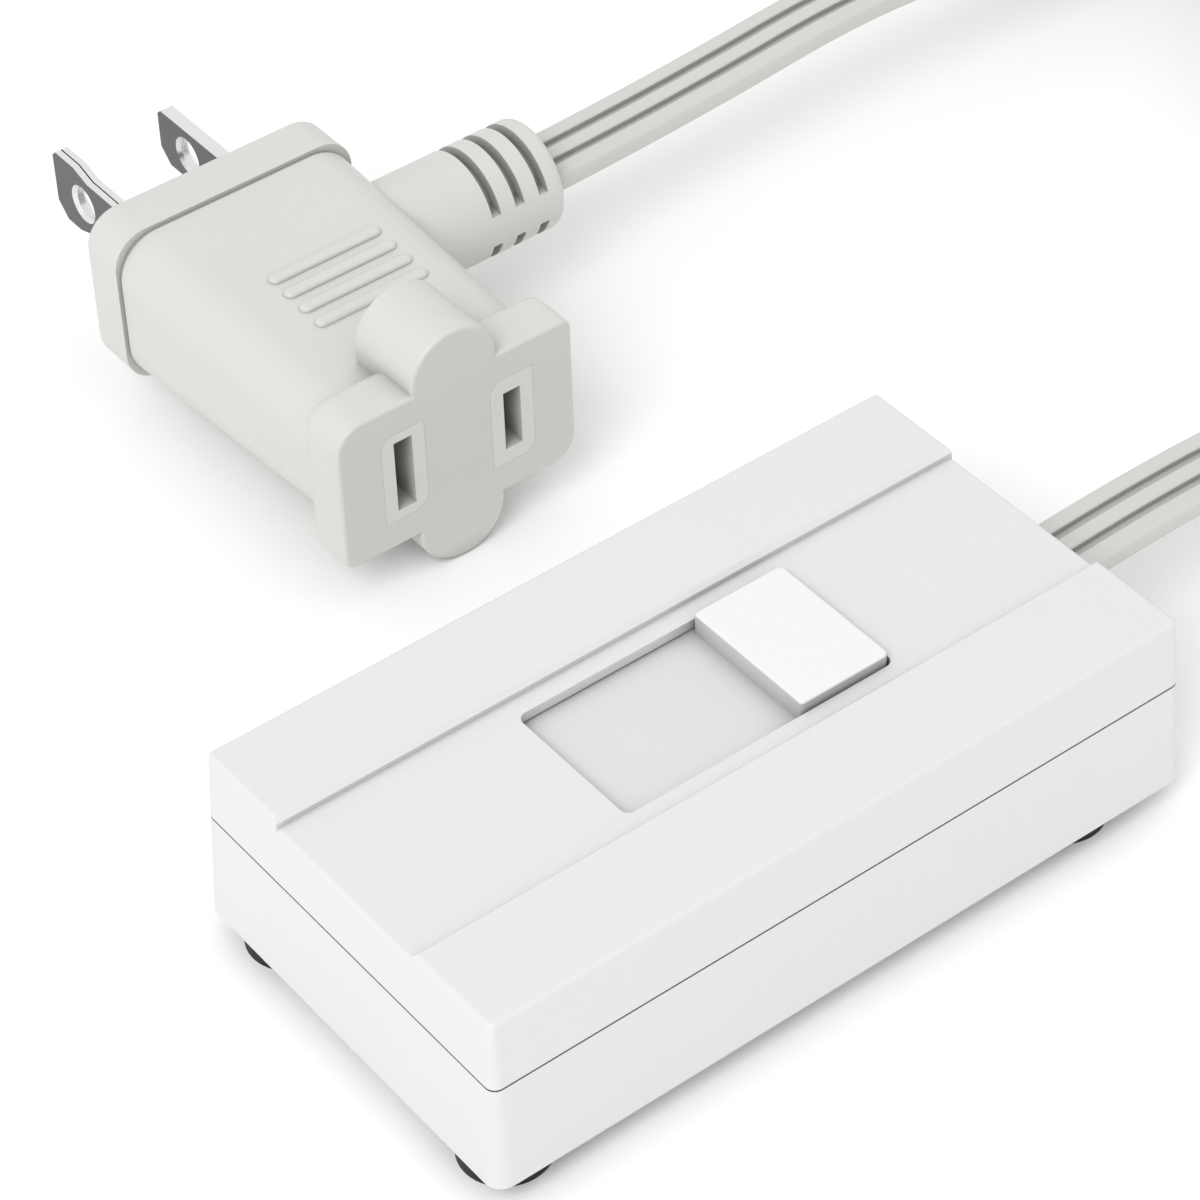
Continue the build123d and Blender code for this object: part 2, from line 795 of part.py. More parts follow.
def pad_outline(grow):
    """Draws the two pads of the receptacle's face, each with two opposite corners rounded."""
    for side in (-1, 1):
        middle = side * blade_spacing / 2
        with Locations((middle, 0)):
            pad = Rectangle(pad_width + 2 * grow, pad_height + 2 * grow)
        fillet(pad.vertices().filter_by(lambda v: (v.X - middle) * v.Y < 0), pad_corner)


def waist_share(depth):
    """How far along the waist a depth lies, from the head to the flange."""
    return (depth - head_depth) / (flange_front - flange_groove - head_depth)


def waist_half_height(depth):
    """Half the waist's height at a depth behind the face."""
    return (waist_height_front + (waist_height_back - waist_height_front) * waist_share(depth)) / 2


def grip_rib(rib_depth):
    """A rounded bar across the waist that stands out above and below it."""
    rib_height = waist_half_height(rib_depth) + rib_rise
    with BuildPart() as bar:
        with BuildSketch(Plane.XY.offset(lobe_reach - rib_height)):
            with Locations((plug_x + rib_shift, plug_face_y + rib_depth)):
                SlotOverall(rib_length, rib_width)
        extrude(amount=2 * rib_height)
        fillet(bar.faces().filter_by(Axis.Z).edges(), rib_edge)
    return bar.part


first_rib = rib_centre - (rib_count - 1) * rib_pitch / 2
grip_ribs = [grip_rib(first_rib + number * rib_pitch) for number in range(rib_count)]

# Strain relief towards +X, slotted above and below, with webs left at its sides
relief_plane = Plane(origin=(plug_x, relief_y, lobe_reach), x_dir=(0, 1, 0), z_dir=(1, 0, 0))
with BuildPart() as strain_relief:
    with BuildSketch(relief_plane):
        Circle(relief_radius)
    extrude(amount=relief_end)
    fillet(strain_relief.edges().sort_by(Axis.X)[-1], relief_edge)
    for number in range(relief_slot_count):
        slot_x = relief_end - relief_slot_end - relief_slot - number * relief_slot_pitch
        with BuildSketch(relief_plane.offset(slot_x)):
            Circle(relief_radius + overrun)
            Circle(relief_slot_floor, mode=Mode.SUBTRACT)
            Rectangle(2 * (relief_radius + overrun), relief_web, mode=Mode.SUBTRACT)
        extrude(amount=relief_slot, mode=Mode.SUBTRACT)

# Room inside the plug for the receptacle's core, the wiring behind it, the blades and the cord
socket_back = pad_depth + socket_depth
wiring_back = socket_back + wiring_depth
with BuildPart() as plug_room:
    with BuildSketch(plug_plane(pad_depth)):
        RectangleRounded(socket_width + 2 * fit_gap, socket_height + 2 * fit_gap, socket_corner)
    extrude(amount=-(wiring_back - pad_depth))
    with BuildSketch(plug_plane(-overrun)):
        pad_outline(mould_gap)
    extrude(amount=-(pad_depth + overrun))
    with BuildSketch(plug_plane(wiring_back)):
        for side in (-1, 1):
            with Locations((side * blade_spacing / 2, 0)):
                Rectangle(blade_thickness + 2 * fit_gap, blade_width + 2 * fit_gap)
    extrude(amount=-(flange_back - wiring_back + overrun))
    with BuildSketch(relief_plane):
        SlotOverall(cord_width + 2 * fit_gap, cord_thickness + 2 * fit_gap)
    extrude(amount=relief_end + overrun)

# Plug body: one moulding from the receptacle's face to the flange, with its strain relief
with BuildPart() as plug_body:
    with BuildSketch(plug_plane(0)) as face_sketch:
        Rectangle(head_width, head_height)
        fillet(face_sketch.vertices().filter_by(lambda v: v.X * v.Y < 0), head_wide_corner)
        fillet(face_sketch.vertices().filter_by(lambda v: v.X * v.Y > 0), head_small_corner)
    extrude(amount=-head_depth)
    fillet(plug_body.faces().sort_by(Axis.Y)[-1].edges(), head_back_edge)
    with BuildSketch(plug_plane(0)):
        SlotOverall(2 * lobe_reach, 2 * lobe_radius, rotation=90)
    extrude(amount=-lobe_depth)
    fillet(plug_body.faces().sort_by(Axis.Y)[0].edges(), face_edge)
    with BuildSketch(plug_plane(head_depth - head_back_edge)):
        RectangleRounded(waist_width_front, waist_height_front, waist_corner)
    with BuildSketch(plug_plane(flange_front - flange_groove)):
        RectangleRounded(waist_width_back, waist_height_back, waist_corner)
    loft()
    with BuildSketch(plug_plane(flange_front - flange_groove)):
        RectangleRounded(
            waist_width_back - flange_groove,
            waist_height_back - flange_groove,
            waist_corner - flange_groove / 2,
        )
    extrude(amount=-flange_groove)
    with BuildSketch(plug_plane(flange_front)):
        RectangleRounded(flange_width, flange_height, flange_corner)
    extrude(amount=-(flange_back - flange_front))
    flange_rims = plug_body.faces().sort_by(Axis.Y)[-1].edges()
    fillet(flange_rims, flange_edge)
    add(grip_ribs)
    add(strain_relief.part)
    add(plug_room.part, mode=Mode.SUBTRACT)

# Receptacle core: a block with two pads that fill the face's windows, and a slot in each
with BuildPart() as socket_core:
    with BuildSketch(plug_plane(pad_depth)):
        RectangleRounded(socket_width, socket_height, socket_corner)
    extrude(amount=-socket_depth)
    with BuildSketch(plug_plane(0)):
        pad_outline(0)
    extrude(amount=-pad_depth)
    slots = [(-1, neutral_slot_width, neutral_slot_height), (1, hot_slot_width, hot_slot_height)]
    for side, slot_width, slot_height in slots:
        with BuildSketch(plug_plane(0)):
            with Locations((side * blade_spacing / 2, 0)):
                Rectangle(slot_width, slot_height)
        extrude(amount=-slot_depth, mode=Mode.SUBTRACT)
        with BuildSketch(plug_plane(chamber_start)):
            with Locations((side * blade_spacing / 2, 0)):
                Rectangle(chamber_width, slot_height)
        extrude(amount=-(socket_back - chamber_start), mode=Mode.SUBTRACT)


def contact_clip(side):
    """One sheet clip: two leaves along the slot's sides, joined across its back."""
    half = chamber_width / 2 - fit_gap
    front = chamber_start + contact_mouth
    slot_place = Plane(origin=(plug_x + side * blade_spacing / 2, plug_face_y, lobe_reach))
    with BuildPart() as clip:
        with BuildSketch(slot_place):
            with BuildLine():
                Polyline(
                    (-half, front),
                    (-half, slot_depth),
                    (half, slot_depth),
                    (half, front),
                    (half - contact_sheet, front),
                    (half - contact_sheet, slot_depth - contact_sheet),
                    (contact_sheet - half, slot_depth - contact_sheet),
                    (contact_sheet - half, front),
                    close=True,
                )
            make_face()
        extrude(amount=contact_height / 2, both=True)
    return clip.part


clips = [contact_clip(side) for side in (-1, 1)]
with BuildPart() as contact_neutral:
    add(clips[0])
with BuildPart() as contact_hot:
    add(clips[1])


def blade_plane(side):
    """The mid plane of a blade: local X runs out from the flange's back and local Y is up."""
    place = (plug_x + side * blade_spacing / 2, plug_face_y + flange_back, lobe_reach)
    return Plane(origin=place, x_dir=(0, 1, 0), z_dir=(1, 0, 0))


# Wide blade: folded from double sheet, widened towards its tip, with a bevelled hole
half_blade = blade_width / 2
half_tip = neutral_blade_width / 2
with BuildPart() as blade_neutral:
    with BuildSketch(blade_plane(-1)):
        with BuildLine():
            Polyline(
                (-blade_root, half_blade),
                (blade_hole_place - blade_step / 2, half_blade),
                (blade_hole_place + blade_step / 2, half_tip),
                (blade_length - blade_tip_trim, half_tip),
                (blade_length, half_tip - blade_tip_trim),
                (blade_length, blade_tip_cut - half_tip),
                (blade_length - blade_tip_cut, -half_tip),
                (blade_hole_place + blade_step / 2, -half_tip),
                (blade_hole_place - blade_step / 2, -half_blade),
                (-blade_root, -half_blade),
                close=True,
            )
        make_face()
        with Locations((blade_hole_place, 0)):
            Circle(blade_hole_radius, mode=Mode.SUBTRACT)
    extrude(amount=blade_thickness / 2, both=True)
    chamfer(blade_neutral.edges().filter_by(GeomType.CIRCLE), blade_hole_bevel)
    with BuildSketch(blade_plane(-1).offset(-blade_fold_width / 2)):
        with Locations((blade_length / 2 - blade_tip_trim, half_tip)):
            Rectangle(blade_length, 2 * blade_fold_depth + 2 * (half_tip - half_blade))
    extrude(amount=blade_fold_width, mode=Mode.SUBTRACT)

# Narrow blade
with BuildPart() as blade_hot:
    with BuildSketch(blade_plane(1)):
        with BuildLine():
            Polyline(
                (-blade_root, half_blade),
                (blade_length - blade_tip_trim, half_blade),
                (blade_length, half_blade - blade_tip_trim),
                (blade_length, blade_tip_cut - half_blade),
                (blade_length - blade_tip_cut, -half_blade),
                (-blade_root, -half_blade),
                close=True,
            )
        make_face()
        with Locations((blade_hole_place, 0)):
            Circle(blade_hole_radius, mode=Mode.SUBTRACT)
    extrude(amount=blade_thickness / 2, both=True)
    chamfer(blade_hot.edges().filter_by(GeomType.CIRCLE), blade_hole_bevel)

# Cord's end inside the strain relief
with BuildPart() as cord_tail_plug:
    with BuildSketch(relief_plane.offset(socket_width / 2)):
        SlotOverall(cord_width, cord_thickness)
    extrude(amount=relief_end - socket_width / 2)


def bend_radii(route):
    """One radius for each corner: a share of the shorter run over the tangent of half the turn."""
    points = [Vector(*point) for point in route]
    radii = []
    for before, corner, after in zip(points, points[1:], points[2:]):
        arriving = corner - before
        leaving = after - corner
        shorter = min(arriving.length, leaving.length)
        turn = radians(arriving.get_angle(leaving))
        radii.append(run_share * shorter / tan(turn / 2))
    return radii


def standing_plane(x, y, z, quarter_share):
    """A plane across the cord, its width turned from level to upright by a share of 90 degrees."""
    turn = radians(90 * quarter_share)
    return Plane(origin=(x, y, z), x_dir=(0, cos(turn), sin(turn)), z_dir=(1, 0, 0))


def quarter_twist(start, end_x):
    """The stretch in which the cord turns from flat to standing on its edge."""
    with BuildPart() as twist:
        for number in range(twist_steps + 1):
            share = number / twist_steps
            with BuildSketch(standing_plane(start[0] + (end_x - start[0]) * share, start[1], start[2], share)):
                SlotOverall(cord_width, cord_thickness)
        loft()
    return twist.part


case_twist = quarter_twist(case_route[-1], coil_start_x)
plug_twist = quarter_twist(plug_route[-1], coil_end_x)

# Free stretch from the case to the coil
with BuildPart() as cord_lead_case:
    with BuildLine() as case_line:
        FilletPolyline(*case_route, radius=bend_radii(case_route))
    with BuildSketch(Plane(origin=case_route[0], x_dir=(0, 1, 0), z_dir=(1, 0, 0))):
        cord_outline()
    sweep()
    add(case_twist)

# Free stretch from the plug to the coil
with BuildPart() as cord_lead_plug:
    with BuildLine() as plug_line:
        FilletPolyline(*plug_route, radius=bend_radii(plug_route))
    with BuildSketch(Plane(origin=plug_route[0], x_dir=(0, 1, 0), z_dir=(1, 0, 0))):
        cord_outline()
    sweep()
    add(plug_twist)

# Coil: half turns whose radius shrinks by half a pitch each, a climb along one run, and out again
coil_low_y = case_route[-1][1]
coil_low_z = case_route[-1][2]
coil_high_z = coil_low_z + coil_layer_step
with BuildPart() as cord_coil:
    with BuildLine() as coil_line:
        here_y = coil_low_y
        here_z = coil_low_z
        radius = coil_outer_radius
        Line((coil_start_x, here_y, here_z), (coil_right_x, here_y, here_z))
        for half_turn in range(half_turns_in + half_turns_out):
            side = 1 if half_turn % 2 == 0 else -1
            turn_x = coil_right_x if side == 1 else coil_left_x
            next_x = coil_left_x if side == 1 else coil_right_x
            next_y = here_y + side * 2 * radius
            ThreePointArc(
                (turn_x, here_y, here_z),
                (turn_x + side * radius, here_y + side * radius, here_z),
                (turn_x, next_y, here_z),
            )
            here_y = next_y
            if half_turn == half_turns_in - 1:
                middle = ((turn_x + next_x) / 2, here_y, (here_z + coil_high_z) / 2)
                rise = TangentArc((turn_x, here_y, here_z), middle, tangent=(-side, 0, 0))
                TangentArc(middle, (next_x, here_y, coil_high_z), tangent=rise % 1)
                here_z = coil_high_z
            elif half_turn < half_turns_in + half_turns_out - 1:
                Line((turn_x, here_y, here_z), (next_x, here_y, here_z))
                radius += coil_pitch / 2 if half_turn >= half_turns_in else -coil_pitch / 2
            else:
                Line((turn_x, here_y, here_z), (coil_end_x, here_y, here_z))
    with BuildSketch(standing_plane(coil_start_x, coil_low_y, coil_low_z, 1)):
        SlotOverall(cord_width, cord_thickness)
    sweep()

# Radii of the free stretches, length of the whole cord, and the coil's least gap to itself
coil_wire = coil_line.wires()[0]
coil_points = [coil_wire.position_at(number / gap_samples) for number in range(gap_samples + 1)]
step_length = coil_wire.length / gap_samples
least_gap = coil_wire.length
for first in range(len(coil_points)):
    for second in range(first + int(gap_skip / step_length), len(coil_points)):
        apart = coil_points[second] - coil_points[first]
        sideways = hypot(apart.X, apart.Y) - cord_thickness
        least_gap = min(least_gap, max(sideways, abs(apart.Z) - cord_width))
twists = abs(coil_start_x - case_route[-1][0]) + abs(coil_end_x - plug_route[-1][0])
free_length = case_line.wires()[0].length + plug_line.wires()[0].length + twists
print("bend radii, case side:", [round(value, 1) for value in bend_radii(case_route)])
print("bend radii, plug side:", [round(value, 1) for value in bend_radii(plug_route)])
print("cord length:", round(free_length + coil_wire.length, 1), "of which coiled", round(coil_wire.length, 1))
print("coil's least gap to itself:", round(least_gap, 2))
plain_area = (cord_width - cord_thickness) * cord_thickness + pi * cord_thickness**2 / 4
print("coil volume over section times length:", round(cord_coil.part.volume / plain_area / coil_wire.length, 3))

pieces = {
    "bottom_shell": bottom_shell,
    "top_shell": top_shell,
    "rubber_feet": rubber_feet,
    "case_screws": case_screws,
    "slider_knob": slider_knob,
    "dust_shield": dust_shield,
    "circuit_board": circuit_board,
    "board_screws": board_screws,
    "pot_housing": pot_housing,
    "pot_base": pot_base,
    "pot_track": pot_track,
    "pot_lever": pot_lever,
    "heat_sink": heat_sink,
    "triac": triac,
    "triac_screw": triac_screw,
    "choke_core": choke_core,
    "choke_winding": choke_winding,
    "film_capacitor": film_capacitor,
    "timing_capacitor": timing_capacitor,
    "resistors": resistors,
    "diac": diac,
    "fuse": fuse,
    "cord_tail": cord_tail,
    "wire_line": wire_line,
    "wire_load": wire_load,
    "wire_neutral": wire_neutral,
    "cord_clamp": cord_clamp,
    "clamp_screws": clamp_screws,
    "plug_body": plug_body,
    "socket_core": socket_core,
    "contact_neutral": contact_neutral,
    "contact_hot": contact_hot,
    "blade_neutral": blade_neutral,
    "blade_hot": blade_hot,
    "cord_tail_plug": cord_tail_plug,
    "cord_lead_case": cord_lead_case,
    "cord_lead_plug": cord_lead_plug,
    "cord_coil": cord_coil,
}
os.makedirs("parts", exist_ok=True)
for name, piece in pieces.items():
    piece.part.label = name
    export_step(piece.part, f"parts/{name}.step")
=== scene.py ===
import json
from math import cos, pi, radians, sin, tan

import bpy
from mathutils import Matrix, Vector


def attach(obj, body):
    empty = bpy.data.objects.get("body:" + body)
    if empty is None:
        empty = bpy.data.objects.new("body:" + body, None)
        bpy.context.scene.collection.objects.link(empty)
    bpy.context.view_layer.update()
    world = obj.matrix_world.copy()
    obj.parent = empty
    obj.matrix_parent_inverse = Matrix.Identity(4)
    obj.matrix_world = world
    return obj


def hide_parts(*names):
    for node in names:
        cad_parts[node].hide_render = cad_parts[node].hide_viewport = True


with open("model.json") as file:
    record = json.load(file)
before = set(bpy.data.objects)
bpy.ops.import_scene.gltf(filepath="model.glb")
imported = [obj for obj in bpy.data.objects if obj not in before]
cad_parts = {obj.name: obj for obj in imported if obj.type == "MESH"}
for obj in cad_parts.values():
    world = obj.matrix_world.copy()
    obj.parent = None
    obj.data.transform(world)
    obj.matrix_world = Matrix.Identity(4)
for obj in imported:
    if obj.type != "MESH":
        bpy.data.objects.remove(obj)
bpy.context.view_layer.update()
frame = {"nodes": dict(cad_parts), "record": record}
nodes = frame["nodes"]
scene = bpy.context.scene

# Camera
# A long lens, looking down on the case from in front of its left corner, as in the photograph.
# Its axes and place were fitted to the case's corners and edges.
camera_data = bpy.data.cameras.new("camera")
camera_data.lens = 129.0
camera_data.sensor_width = 36.0
camera_data.clip_start = 0.02
camera_data.clip_end = 20.0
camera = bpy.data.objects.new("camera", camera_data)
scene.collection.objects.link(camera)
camera_right = (0.7901726645, -0.6122070650, -0.0288039894)
camera_up = (0.4309510063, 0.5215807652, 0.7363678979)
camera_back = (-0.4357847983, -0.5942693118, 0.6759701137)
camera_place = (-0.16521563, -0.21153153, 0.27821983)
camera_axes = Matrix((camera_right, camera_up, camera_back)).transposed()
camera.matrix_world = Matrix.Translation(camera_place) @ camera_axes.to_4x4()
scene.camera = camera

# Cord
# One flat cord of three cores: out of the case, down to the floor, over on its edge into a coil
# of long loops in two layers, and back up to the plug's strain relief.
case_route = [
    (0.03819, 0.0, 0.0121),
    (0.076, 0.0006, 0.0138),
    (0.099, -0.0036, 0.0041),
    (0.118, -0.0036, 0.0041),
]
plug_route = [
    (0.0394, 0.0765, 0.0139),
    (0.056, 0.0765, 0.0143),
    (0.086, 0.0765, 0.0172),
    (0.106, 0.0765, 0.0126),
    (0.122, 0.0765, 0.0126),
]
coil_left = 0.1543
coil_right = 0.1843
coil_radius = 0.03845
coil_pitch = 0.0032
coil_rise = 0.0085
half_turns_in = 5
half_turns_out = 6
turn_points = 12
half_step = pi / turn_points / 2
line_steps = 24
ring_spacing = 0.0024

route = list(case_route)
turn_y = case_route[-1][1]
turn_z = case_route[-1][2]
turn_radius = coil_radius
for half_turn in range(half_turns_in + half_turns_out):
    side = 1 if half_turn % 2 == 0 else -1
    turn_x = coil_right if side == 1 else coil_left
    reach = turn_radius / cos(half_step)
    lead_in = turn_radius * tan(half_step)
    route.append((turn_x - side * lead_in, turn_y, turn_z))
    for number in range(turn_points):
        angle = (2 * number + 1) * half_step
        along = turn_x + side * reach * sin(angle)
        across = turn_y + side * (turn_radius - reach * cos(angle))
        route.append((along, across, turn_z))
    turn_y += side * 2 * turn_radius
    route.append((turn_x - side * lead_in, turn_y, turn_z))
    if half_turn == half_turns_in - 1:
        turn_z += coil_rise
    elif half_turn < half_turns_in - 1:
        turn_radius -= coil_pitch / 2
    else:
        turn_radius += coil_pitch / 2
route += reversed(plug_route)

curve = bpy.data.curves.new("cord_line", "CURVE")
curve.dimensions = "3D"
curve.resolution_u = line_steps
spline = curve.splines.new("NURBS")
spline.points.add(len(route) - 1)
for point, place in zip(spline.points, route):
    point.co = (*place, 1.0)
spline.order_u = 3
spline.use_endpoint_u = True
curve_object = bpy.data.objects.new("cord_line", curve)
scene.collection.objects.link(curve_object)
bpy.context.view_layer.update()
line_mesh = bpy.data.meshes.new_from_object(curve_object)
line = [vertex.co.copy() for vertex in line_mesh.vertices]
bpy.data.objects.remove(curve_object)
bpy.data.meshes.remove(line_mesh)
case_exit = Vector(case_route[0])
if (line[0] - case_exit).length > (line[-1] - case_exit).length:
    line.reverse()
cord_path = [line[0]]
for place in line[1:-1]:
    if (place - cord_path[-1]).length > ring_spacing:
        cord_path.append(place)
cord_path.append(line[-1])

# Section: three flat ribs with a square groove between them, above and below
half_width = 0.0038
half_thickness = 0.0011
edge_radius = 0.0005
edge_steps = 4
rib_half = 0.00086
groove_width = 0.00104
groove_depth = 0.0007
rib_bevel = 0.00012
groove_out = rib_half + groove_width
groove_floor = half_thickness - groove_depth
quarter = [(half_width, 0.0)]
for number in range(edge_steps + 1):
    angle = number * pi / 2 / edge_steps
    across = half_width - edge_radius + edge_radius * cos(angle)
    quarter.append((across, half_thickness - edge_radius + edge_radius * sin(angle)))
quarter += [
    (groove_out + rib_bevel, half_thickness),
    (groove_out, half_thickness - rib_bevel),
    (groove_out, groove_floor),
    (rib_half, groove_floor),
    (rib_half, half_thickness - rib_bevel),
    (rib_half - rib_bevel, half_thickness),
]
section = quarter + [(-across, up) for across, up in reversed(quarter)]
section += [(across, -up) for across, up in section[-2:0:-1]]

# Between these places along X the cord turns by a quarter, onto its edge and off it again
twist_in = (0.118, 0.150)
twist_out = (0.148, 0.122)
coil_start = next(i for i, p in enumerate(cord_path) if p.x > twist_in[1])
coil_end = max(i for i, p in enumerate(cord_path) if p.x > twist_out[0])


def smooth_share(value, start, end):
    """How far value is from start to end, eased at both ends."""
    share = min(max((value - start) / (end - start), 0.0), 1.0)
    return share * share * (3 - 2 * share)


def cord_turn(index, place):
    """The angle by which the cord's width has turned from level at a ring."""
    if index < coil_start:
        return pi / 2 * smooth_share(place.x, *twist_in)
    if index <= coil_end:
        return pi / 2
    return pi / 2 * (1 + smooth_share(place.x, *twist_out))


cord_vertices = []
for index, place in enumerate(cord_path):
    before = cord_path[max(index - 1, 0)]
    after = cord_path[min(index + 1, len(cord_path) - 1)]
    tangent = (after - before).normalized()
    level = Vector((0, 0, 1)).cross(tangent).normalized()
    width_axis = Matrix.Rotation(cord_turn(index, place), 3, tangent) @ level
    height_axis = tangent.cross(width_axis)
    for across, up in section:
        cord_vertices.append(place + width_axis * across + height_axis * up)
corners = len(section)
last_ring = (len(cord_path) - 1) * corners
cord_faces = [list(range(corners))[::-1]]
for ring in range(0, last_ring, corners):
    next_ring = ring + corners
    for corner in range(corners):
        following = (corner + 1) % corners
        cord_faces.append(
            (ring + corner, ring + following, next_ring + following, next_ring + corner)
        )
cord_faces.append([last_ring + corner for corner in range(corners)])
cord_mesh = bpy.data.meshes.new("cord")
cord_mesh.from_pydata([tuple(v) for v in cord_vertices], [], cord_faces)
cord_mesh.update()
cord = bpy.data.objects.new("cord", cord_mesh)
scene.collection.objects.link(cord)
bpy.ops.object.select_all(action="DESELECT")
cord.select_set(True)
bpy.context.view_layer.objects.active = cord
bpy.ops.object.mode_set(mode="EDIT")
bpy.ops.mesh.select_all(action="SELECT")
bpy.ops.mesh.normals_make_consistent(inside=False)
bpy.ops.object.mode_set(mode="OBJECT")
sharpest_smooth = radians(35)
bpy.ops.object.shade_smooth_by_angle(angle=sharpest_smooth)
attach(cord, "case")
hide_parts("cord_lead_case", "cord_coil", "cord_lead_plug")

# Materials
# One procedural material for each slot of the record: a base colour that drifts a little and is
# darkened in creases by painted shade, and a fine moulded or rolled texture in the normal and
# the roughness.
drift_scale = 90
drift_detail = 3
crease_samples = 8
crease_reach = 0.0035
crease_open = (0.25, 0.85)
painted_crease_shade = 0.55
grain_detail = 2
roughness_spread = 0.04
grain_height = 0.00003


def ramp(tree, value, source, target):
    """A socket whose value is taken from one range to another."""
    node = tree.nodes.new("ShaderNodeMapRange")
    limits = zip(("From Min", "From Max", "To Min", "To Max"), (*source, *target))
    for name, limit in limits:
        node.inputs[name].default_value = limit
    tree.links.new(value, node.inputs["Value"])
    return node.outputs["Result"]


def noise(tree, place, scale, detail):
    """A noise texture's value at a place."""
    node = tree.nodes.new("ShaderNodeTexNoise")
    node.inputs["Scale"].default_value = scale
    node.inputs["Detail"].default_value = detail
    tree.links.new(place, node.inputs["Vector"])
    return node.outputs["Fac"]


def surface(name, colour, roughness, drift, grain, depth, metallic):
    """A material of one sRGB colour, which varies by drift, with a texture of grain mm."""
    material = bpy.data.materials.new(name)
    material.use_nodes = True
    tree = material.node_tree
    shader = tree.nodes["Principled BSDF"]
    shader.inputs["Metallic"].default_value = metallic
    place = tree.nodes.new("ShaderNodeTexCoord").outputs["Object"]

    linear = [((c + 0.055) / 1.055) ** 2.4 if c > 0.04045 else c / 12.92 for c in colour]
    broad = noise(tree, place, drift_scale, drift_detail)
    drifting = tree.nodes.new("ShaderNodeVectorMath")
    drifting.operation = "SCALE"
    drifting.inputs[0].default_value = linear
    tint = ramp(tree, broad, (0, 1), (1 - drift, 1 + drift))
    tree.links.new(tint, drifting.inputs["Scale"])

    # Painted shade: an ambient occlusion node darkens the base colour in creases and recesses
    crease = tree.nodes.new("ShaderNodeAmbientOcclusion")
    crease.samples = crease_samples
    crease.inputs["Distance"].default_value = crease_reach
    shaded = tree.nodes.new("ShaderNodeVectorMath")
    shaded.operation = "SCALE"
    tree.links.new(drifting.outputs["Vector"], shaded.inputs[0])
    shade = ramp(tree, crease.outputs["AO"], crease_open, (painted_crease_shade, 1))
    tree.links.new(shade, shaded.inputs["Scale"])
    tree.links.new(shaded.outputs["Vector"], shader.inputs["Base Color"])

    fine = noise(tree, place, 1000 / grain, grain_detail)
    spread = (roughness - roughness_spread, roughness + roughness_spread)
    tree.links.new(ramp(tree, fine, (0, 1), spread), shader.inputs["Roughness"])
    bump = tree.nodes.new("ShaderNodeBump")
    bump.inputs["Strength"].default_value = depth
    bump.inputs["Distance"].default_value = grain_height
    tree.links.new(fine, bump.inputs["Height"])
    tree.links.new(bump.outputs["Normal"], shader.inputs["Normal"])
    return material


# name: sRGB colour, roughness, drift, grain in mm, depth, metallic
finishes = {
    "case_white": ((0.838, 0.838, 0.838), 0.36, 0.005, 0.35, 0.2, 0),
    "knob_white": ((0.885, 0.885, 0.885), 0.32, 0.004, 0.35, 0.15, 0),
    "white_plastic": ((0.815, 0.815, 0.817), 0.5, 0.008, 0.4, 0.25, 0),
    "black_rubber": ((0.12, 0.12, 0.125), 0.75, 0.05, 0.5, 0.5, 0),
    "cord_grey": ((0.767, 0.772, 0.752), 0.42, 0.012, 0.6, 0.25, 0),
    "plug_grey": ((0.79, 0.793, 0.774), 0.4, 0.01, 0.4, 0.25, 0),
    "core_grey": ((0.825, 0.82, 0.80), 0.42, 0.01, 0.4, 0.25, 0),
    # blade_nickel's dark colour is a painted dark reflection, kept on the blades' broad faces
    "blade_nickel": ((0.34, 0.34, 0.34), 0.28, 0.05, 0.3, 0.15, 1),
    "brass": ((0.62, 0.5, 0.28), 0.3, 0.04, 0.3, 0.2, 1),
    "steel": ((0.66, 0.66, 0.66), 0.35, 0.05, 0.3, 0.2, 1),
    "aluminium": ((0.72, 0.72, 0.73), 0.4, 0.04, 0.4, 0.2, 1),
    "copper": ((0.72, 0.4, 0.22), 0.35, 0.06, 0.5, 0.4, 1),
    "ferrite": ((0.2, 0.2, 0.2), 0.6, 0.05, 0.3, 0.3, 0),
    "board": ((0.6, 0.48, 0.3), 0.5, 0.05, 0.6, 0.2, 0),
    "phenolic": ((0.45, 0.33, 0.2), 0.5, 0.06, 0.5, 0.2, 0),
    "carbon": ((0.12, 0.12, 0.12), 0.5, 0.05, 0.3, 0.2, 0),
    "black_plastic": ((0.1, 0.1, 0.1), 0.5, 0.05, 0.4, 0.3, 0),
    "red_plastic": ((0.6, 0.2, 0.14), 0.35, 0.04, 0.6, 0.2, 0),
    "resistor_tan": ((0.75, 0.66, 0.5), 0.45, 0.04, 0.5, 0.2, 0),
    "diac_blue": ((0.3, 0.42, 0.62), 0.2, 0.04, 0.5, 0.1, 0),
    "fuse_glass": ((0.85, 0.87, 0.87), 0.12, 0.01, 0.8, 0.05, 0),
    "wire_black": ((0.12, 0.12, 0.12), 0.45, 0.04, 0.5, 0.2, 0),
    "wire_red": ((0.65, 0.13, 0.1), 0.45, 0.04, 0.5, 0.2, 0),
    "wire_white": ((0.87, 0.87, 0.85), 0.45, 0.02, 0.5, 0.2, 0),
}
materials = {name: surface(name, *values) for name, values in finishes.items()}


def axis(tree, source, output, name):
    """One axis of a vector that an input node gives."""
    parts = tree.nodes.new("ShaderNodeSeparateXYZ")
    tree.links.new(tree.nodes.new(source).outputs[output], parts.inputs["Vector"])
    return parts.outputs[name]


def overlay(tree, share, level):
    """Lay an even grey over a material's own colour, by the share that a socket gives."""
    base = tree.nodes["Principled BSDF"].inputs["Base Color"]
    own = base.links[0].from_socket
    mix = tree.nodes.new("ShaderNodeMix")
    mix.data_type = "RGBA"
    mix.inputs["B"].default_value = (level, level, level, 1)
    tree.links.new(share, mix.inputs["Factor"])
    tree.links.new(own, mix.inputs["A"])
    tree.links.new(mix.outputs["Result"], base)
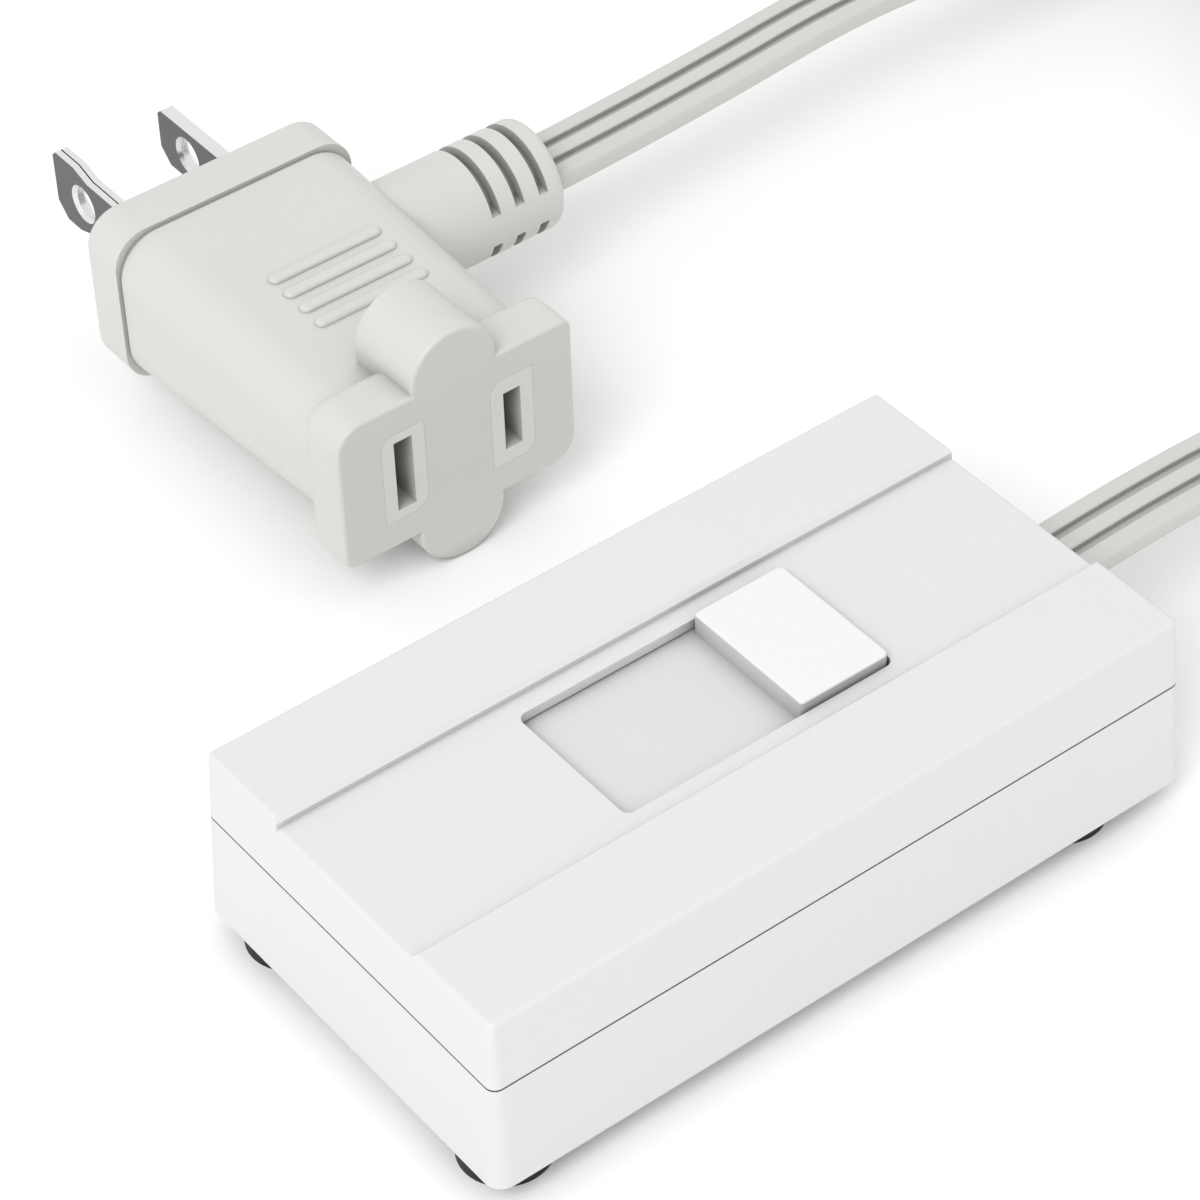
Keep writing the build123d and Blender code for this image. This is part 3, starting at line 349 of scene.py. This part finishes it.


# Painted reflection and highlight: the blades' broad faces keep a dark colour for a dark
# reflection, while their sheared edges and bevels are laid bright grey for a highlight
broad_face = (0.85, 0.98)
painted_edge_highlight = 0.78
blade_tree = materials["blade_nickel"].node_tree
blade_facing = blade_tree.nodes.new("ShaderNodeMath")
blade_facing.operation = "ABSOLUTE"
blade_x = axis(blade_tree, "ShaderNodeNewGeometry", "True Normal", "X")
blade_tree.links.new(blade_x, blade_facing.inputs[0])
edge_highlight_share = ramp(blade_tree, blade_facing.outputs["Value"], broad_face, (1, 0))
overlay(blade_tree, edge_highlight_share, painted_edge_highlight)

# The knob's sides lie in the window's shade, and its top stands in the light
side_shade = 0.26
side_to_top = (0, 0.7)
knob_tree = materials["knob_white"].node_tree
knob_up = axis(knob_tree, "ShaderNodeNewGeometry", "True Normal", "Z")
overlay(knob_tree, ramp(knob_tree, knob_up, side_to_top, (side_shade, 0)), 0)

# Painted shade: a dark grey laid on the thin groove where the two shells meet
seam_height = 0.01428
seam_reach = 0.0001
seam_painted_shade = 0.2
seam_tree = materials["case_white"].node_tree
seam = seam_tree.nodes.new("ShaderNodeMath")
seam.operation = "COMPARE"
seam.inputs[1].default_value = seam_height
seam.inputs[2].default_value = seam_reach
seam_z = axis(seam_tree, "ShaderNodeTexCoord", "Object", "Z")
seam_tree.links.new(seam_z, seam.inputs[0])
overlay(seam_tree, seam.outputs["Value"], seam_painted_shade)

for subpart in frame["record"]["subparts"]:
    target = nodes[subpart["node"]]
    target.data.materials.clear()
    target.data.materials.append(materials[subpart["material_slot"]])
cord.data.materials.append(materials["cord_grey"])

# Floor and light
# A pale floor that keeps a faint shadow, an even white surround, and one broad soft light from
# above the photographer's left shoulder.
floor_white = 0.93
bpy.ops.object.select_all(action="DESELECT")
bpy.ops.mesh.primitive_plane_add(size=6.0, location=(0.05, 0.05, 0.0))
floor = bpy.context.active_object
floor.name = "floor"
floor_material = bpy.data.materials.new("floor")
floor_material.use_nodes = True
floor_shader = floor_material.node_tree.nodes["Principled BSDF"]
floor_shader.inputs["Base Color"].default_value = (floor_white, floor_white, floor_white, 1)
floor_shader.inputs["Roughness"].default_value = 0.9
floor_shader.inputs["Specular IOR Level"].default_value = 0.1
floor.data.materials.append(floor_material)

# What the camera, metal and glass see of the surround is white; what lights the object is less
seen_strength = 1.0
lit_strength = 0.95
world = bpy.data.worlds.new("surround")
scene.world = world
world.use_nodes = True
world_tree = world.node_tree
world_tree.nodes.clear()
path_kind = world_tree.nodes.new("ShaderNodeLightPath")
seen = path_kind.outputs["Is Camera Ray"]
for kind in ("Is Glossy Ray", "Is Transmission Ray"):
    either = world_tree.nodes.new("ShaderNodeMath")
    either.operation = "MAXIMUM"
    world_tree.links.new(seen, either.inputs[0])
    world_tree.links.new(path_kind.outputs[kind], either.inputs[1])
    seen = either.outputs["Value"]
choose = world_tree.nodes.new("ShaderNodeMixShader")
world_tree.links.new(seen, choose.inputs["Fac"])
for number, strength in ((1, lit_strength), (2, seen_strength)):
    white = world_tree.nodes.new("ShaderNodeBackground")
    white.inputs["Color"].default_value = (1, 1, 1, 1)
    white.inputs["Strength"].default_value = strength
    world_tree.links.new(white.outputs["Background"], choose.inputs[number])
output = world_tree.nodes.new("ShaderNodeOutputWorld")
world_tree.links.new(choose.outputs["Shader"], output.inputs["Surface"])

lamp_data = bpy.data.lights.new("soft_light", "AREA")
lamp_data.shape = "DISK"
lamp_data.size = 0.9
lamp_data.energy = 10.6
lamp = bpy.data.objects.new("soft_light", lamp_data)
scene.collection.objects.link(lamp)
lamp.location = (-0.95, -0.52, 1.2)
lit_place = Vector((0.03, 0.03, 0.01))
lamp.rotation_euler = (lit_place - lamp.location).to_track_quat("-Z", "Y").to_euler()

scene.view_settings.view_transform = "Standard"
